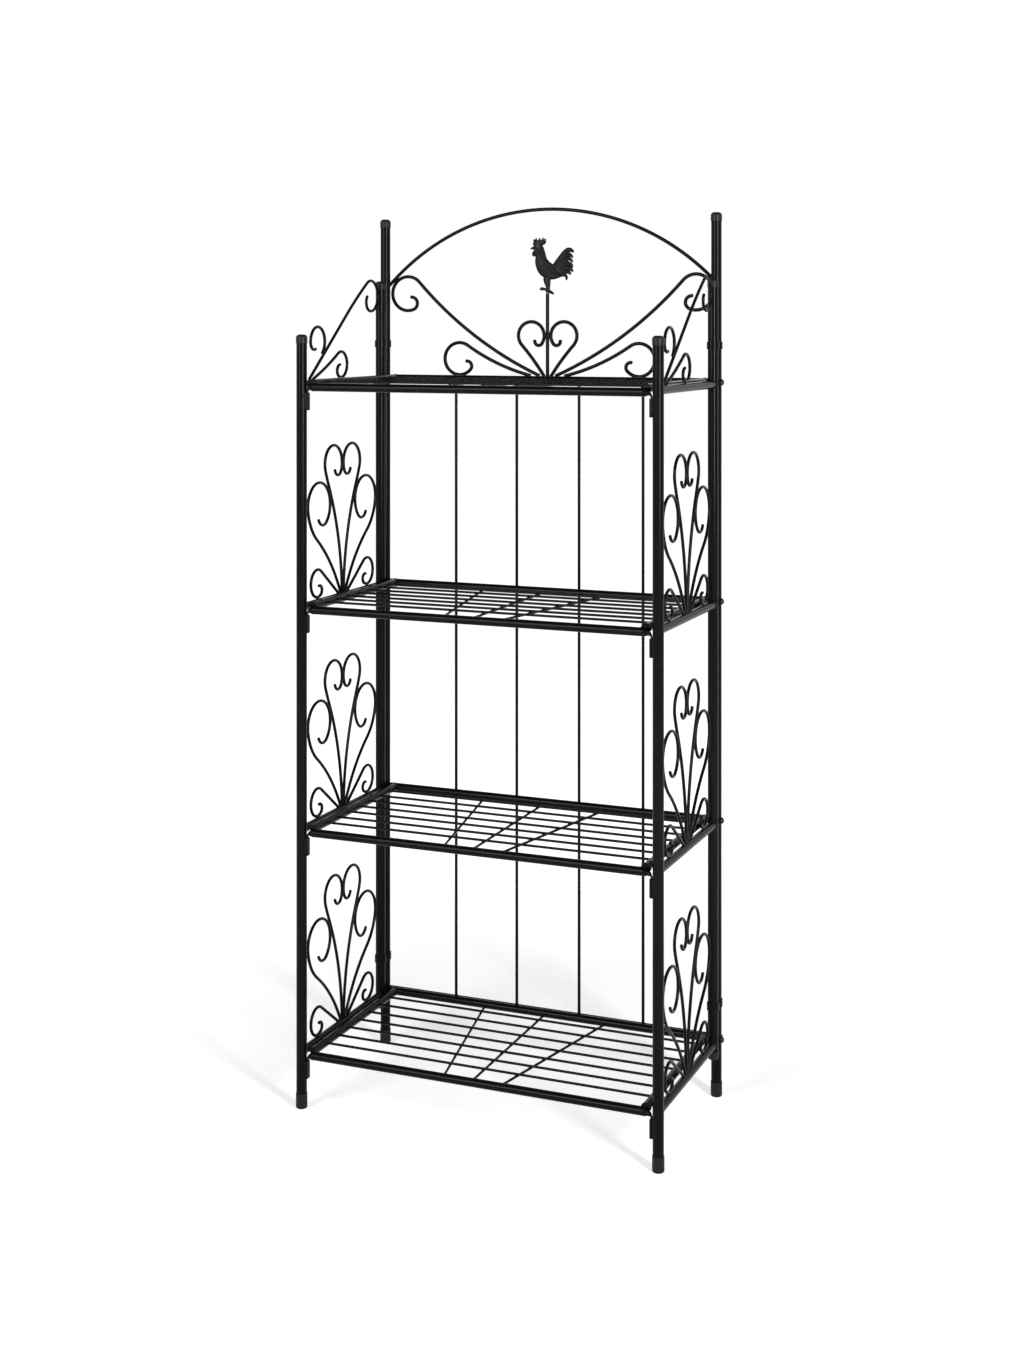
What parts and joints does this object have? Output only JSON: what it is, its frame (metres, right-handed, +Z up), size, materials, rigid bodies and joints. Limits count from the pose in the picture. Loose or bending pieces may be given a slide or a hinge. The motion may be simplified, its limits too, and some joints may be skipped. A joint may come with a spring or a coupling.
{
  "type": "plant stand",
  "caption": "Folding shelf stand for plants in black steel tube, with scrollwork sides, wire shelves that lift on rear pivots and an arched crest with a rooster finial.",
  "frame": {"origin": "on the floor, below the middle of the bounding box", "axes": "+Z up, +Y from the open front towards the back panel, +X to the right as seen from the front"},
  "size_m": [0.624, 0.3258, 1.448],
  "materials": {
    "posts": "black powder coat, semi-gloss",
    "panel_rails": "black powder coat, semi-gloss",
    "scroll_rods": "black powder coat, semi-gloss",
    "back_bars": "black powder coat, semi-gloss",
    "brackets": "black powder coat, satin",
    "shelf_tubes": "black powder coat, semi-gloss",
    "shelf_wires": "black powder coat, semi-gloss",
    "bolts": "black coated steel, satin",
    "washers": "black nylon",
    "caps": "black moulded plastic, satin",
    "feet": "black moulded plastic, matt",
    "casting": "black painted casting, satin"
  },
  "bodies": {
    "frame": {"back_post_left": "posts", "back_post_right": "posts", "front_leg_left": "posts", "front_leg_right": "posts", "side_post_left": "posts", "side_post_right": "posts", "back_post_caps": "caps", "front_leg_caps": "caps", "side_post_caps": "caps", "back_post_feet": "feet", "front_leg_feet": "feet", "crossbars": "back_bars", "back_rods": "back_bars", "crest_arch": "scroll_rods", "crest_large_scrolls": "scroll_rods", "crest_small_scrolls": "scroll_rods", "crest_heart": "scroll_rods", "rooster_stem": "scroll_rods", "side_crest_left": "scroll_rods", "side_crest_right": "scroll_rods", "side_rails_left": "panel_rails", "side_fan_left_1": "scroll_rods", "side_fan_left_2": "scroll_rods", "side_fan_left_3": "scroll_rods", "side_rails_right": "panel_rails", "side_fan_right_1": "scroll_rods", "side_fan_right_2": "scroll_rods", "side_fan_right_3": "scroll_rods", "rooster": "casting", "shelf_pockets": "brackets", "post_links": "brackets", "pivot_bolts": "bolts", "pivot_washers": "washers"},
    "shelf_1": {"shelf_1_front_rail": "shelf_tubes", "shelf_1_hooks": "brackets", "shelf_1_rear_rail": "shelf_tubes", "shelf_1_sleeves": "shelf_tubes", "shelf_1_side_rails": "shelf_tubes", "shelf_1_wires": "shelf_wires"},
    "shelf_2": {"shelf_2_front_rail": "shelf_tubes", "shelf_2_hooks": "brackets", "shelf_2_rear_rail": "shelf_tubes", "shelf_2_sleeves": "shelf_tubes", "shelf_2_side_rails": "shelf_tubes", "shelf_2_wires": "shelf_wires"},
    "shelf_3": {"shelf_3_front_rail": "shelf_tubes", "shelf_3_hooks": "brackets", "shelf_3_rear_rail": "shelf_tubes", "shelf_3_sleeves": "shelf_tubes", "shelf_3_side_rails": "shelf_tubes", "shelf_3_wires": "shelf_wires"},
    "shelf_4": {"shelf_4_front_rail": "shelf_tubes", "shelf_4_hooks": "brackets", "shelf_4_rear_rail": "shelf_tubes", "shelf_4_sleeves": "shelf_tubes", "shelf_4_side_rails": "shelf_tubes", "shelf_4_wires": "shelf_wires"}
  },
  "joints": [
    {"name": "shelf_1_lift", "type": "hinge", "parent": "frame", "child": "shelf_1", "pos_m": [0, 0.14635, 0.092], "axis": [-1, 0, 0], "range_deg": [0, 90]},
    {"name": "shelf_2_lift", "type": "hinge", "parent": "frame", "child": "shelf_2", "pos_m": [0, 0.14635, 0.447], "axis": [-1, 0, 0], "range_deg": [0, 90]},
    {"name": "shelf_3_lift", "type": "hinge", "parent": "frame", "child": "shelf_3", "pos_m": [0, 0.14635, 0.802], "axis": [-1, 0, 0], "range_deg": [0, 90]},
    {"name": "shelf_4_lift", "type": "hinge", "parent": "frame", "child": "shelf_4", "pos_m": [0, 0.14635, 1.157], "axis": [-1, 0, 0], "range_deg": [0, 90]}
  ]
}
